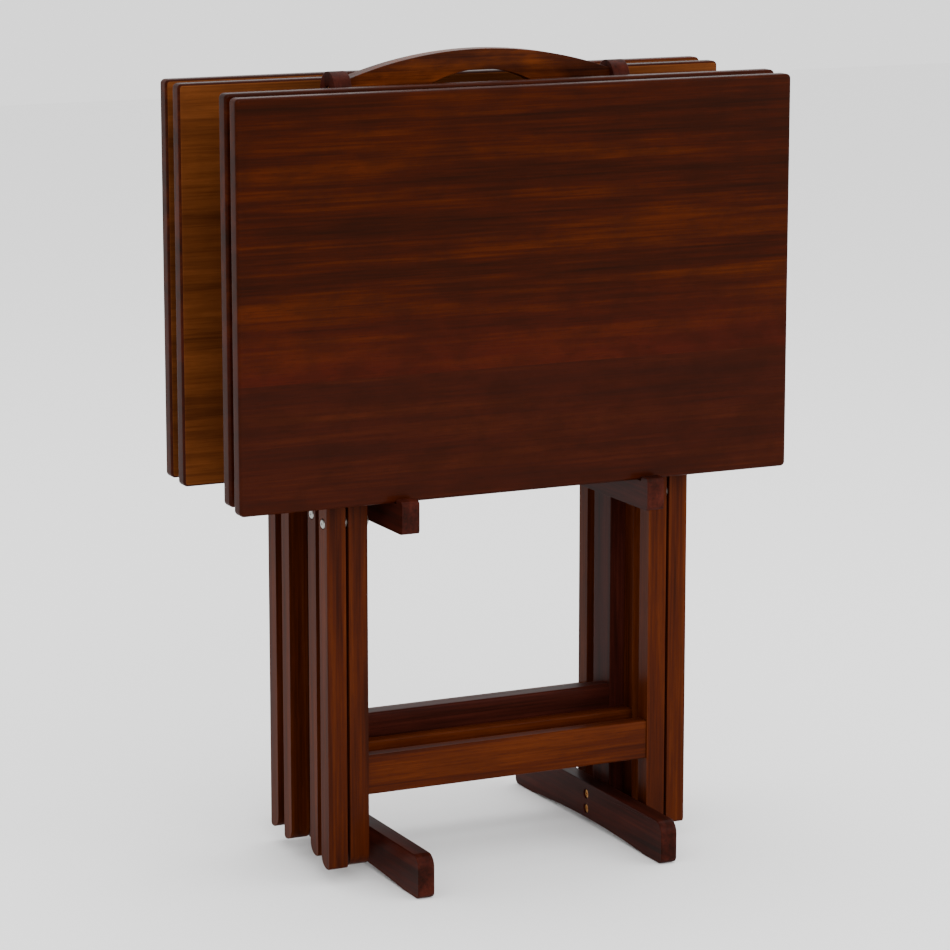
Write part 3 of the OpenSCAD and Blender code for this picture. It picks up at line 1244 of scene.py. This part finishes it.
    def crossing_bolts(self) -> None:
        """Builds the bolts at the crossing, each with a head, a shank and a nut."""
        node = self.node("crossing_bolts")
        low, high = node_box(node)
        y, z = (low.y + high.y) / 2, self.crossing_height()
        _, outer_high = node_box(self.node("outer_leg_right"))
        inner_low, _ = node_box(self.node("inner_leg_right"))
        middle = (low.x + high.x) / 2
        face = outer_high.x - middle - self.head_sink
        inner = inner_low.x - middle - self.nut_gap
        parts = []
        for side in Side:
            way = side.value
            parts.append(self.bolt_head(middle + way * face, side, y, z))
            start = middle + (inner if way > 0 else -face)
            parts.append(
                add_round(
                    "shank",
                    Vector((start, y, z)),
                    face - inner,
                    self.bolt_radius,
                    Grain.ALONG_X,
                    32,
                )
            )
            start = middle + (inner - self.head_height if way > 0 else -inner)
            nut = add_round(
                "nut", Vector((start, y, z)), self.head_height, self.nut_radius, Grain.ALONG_X, 6
            )
            soften(nut, self.nut_edge, 2)
            parts.append(nut)
        self._finish_metal(parts, "crossing_hardware", "frame", node)

    def washers(self) -> None:
        """Builds the washers between the legs."""
        node = self.node("washers")
        parts = []
        for side in Side:
            low, high = half_box(node, side, self.washer_width)
            y, z = (low.y + high.y) / 2, (low.z + high.z) / 2
            part = add_round(
                "washer",
                Vector((low.x, y, z)),
                self.washer_width,
                (high.z - low.z) / 2,
                Grain.ALONG_X,
            )
            drill(
                part,
                Vector((low.x - OVERCUT, y, z)),
                self.washer_width + 2 * OVERCUT,
                self.hole_radius,
            )
            soften(part, self.fine_edge, 2)
            parts.append(part)
        self._finish_metal(parts, "washer_pair", "frame", node)

    def pivot_bolts(self) -> None:
        """Builds the bolts through the cleats into the outer legs."""
        node = self.node("pivot_bolts")
        low, high = node_box(node)
        centre = self.rod_centre()
        middle = (low.x + high.x) / 2
        face = high.x - middle - self.head_height
        leg_low, _ = node_box(self.node("outer_leg_right"))
        inner = leg_low.x - middle + self.pivot_stop
        parts = []
        for side in Side:
            way = side.value
            parts.append(self.bolt_head(middle + way * face, side, centre.y, centre.z))
            start = middle + (inner if way > 0 else -face)
            parts.append(
                add_round(
                    "shank",
                    Vector((start, centre.y, centre.z)),
                    face - inner,
                    self.bolt_radius,
                    Grain.ALONG_X,
                    32,
                )
            )
        self._finish_metal(parts, "pivot_hardware", "top", node)

    def _finish_metal(
        self, parts: list[bpy.types.Object], name: str, group: str, node: str
    ) -> None:
        """Joins small metal parts, smooths them and sets them on their body."""
        obj = join(parts, self.node(name))
        make_active(obj)
        bpy.ops.object.shade_smooth_by_angle(angle=math.radians(30))
        self.finish_piece(obj, self.body(group), ZINC_BOLT.material(), "bolt_steel", node)


# ---- studio -----------------------------------------------------------------


@dataclass
class Studio:
    """A pale floor, soft lights and the camera."""

    camera_place: tuple[float, float, float] = (-1.5355, -3.2030, 1.0701)
    camera_tilt: float = 78.7
    camera_turn: float = -25.58
    lens: float = 143.45
    sensor: float = 36.0
    floor_size: float = 14.0
    # The floor lies just under the feet, so that the two never flicker.
    floor_drop: float = 0.5 * MM
    sky_strength: float = 1.6

    def build(self) -> None:
        """Builds the floor, the lights and the camera."""
        self.floor()
        self.sky()
        self.light("key_light", (-0.5, -3.4, 2.6), (0.0, 0.0, 0.45), 2.6, 80.0)
        self.light("fill_light", (2.8, -2.6, 1.5), (0.0, 0.0, 0.4), 2.4, 50.0)
        self.light("top_light", (0.3, 0.6, 3.4), (0.0, 0.0, 0.4), 2.8, 60.0)
        self.camera()

    def floor(self) -> None:
        """Lays a plain white floor."""
        deselect_all()
        bpy.ops.mesh.primitive_plane_add(size=self.floor_size, location=(0.0, 0.0, -self.floor_drop))
        obj = bpy.context.object
        obj.name = "floor"
        apply_place(obj)
        material, tree = new_material("white_paper_floor")
        skin = add_node(
            tree,
            "ShaderNodeBsdfPrincipled",
            {"Base Color": linear("#F6F6F6"), "Roughness": 0.9},
        )
        add_node(tree, "ShaderNodeOutputMaterial", {"Surface": skin.outputs["BSDF"]})
        dress(obj, material)

    def sky(self) -> None:
        """Fills the room with even white light."""
        world = bpy.data.worlds.new("studio")
        bpy.context.scene.world = world
        world.use_nodes = True
        back = world.node_tree.nodes["Background"]
        back.inputs["Color"].default_value = (1.0, 1.0, 1.0, 1.0)
        back.inputs["Strength"].default_value = self.sky_strength

    def light(
        self,
        name: str,
        place: tuple[float, float, float],
        target: tuple[float, float, float],
        size: float,
        power: float,
    ) -> None:
        """Hangs a square soft light.

        Args:
            name: The light's name.
            place: Where it hangs, in metres.
            target: What it points at.
            size: The length of its sides.
            power: Its power in watts.
        """
        deselect_all()
        bpy.ops.object.light_add(type="AREA", location=place)
        lamp = bpy.context.object
        lamp.name = name
        lamp.data.size = size
        lamp.data.energy = power
        way = Vector(target) - Vector(place)
        lamp.rotation_euler = way.to_track_quat("-Z", "Y").to_euler()

    def camera(self) -> None:
        """Sets the camera at standing height to the left of the front."""
        deselect_all()
        bpy.ops.object.camera_add(
            location=self.camera_place,
            rotation=(math.radians(self.camera_tilt), 0.0, math.radians(self.camera_turn)),
        )
        camera = bpy.context.object
        camera.data.lens = self.lens
        camera.data.sensor_width = self.sensor
        bpy.context.scene.camera = camera


def main() -> None:
    """Builds the stand, the four tables and the studio, in that order."""
    logging.basicConfig(level=logging.INFO, format="%(message)s")
    Stand().build()
    for number in (1, 2, 3, 4):
        TrayTable(number=number).build()
    Studio().build()


if __name__ == "__main__":
    main()
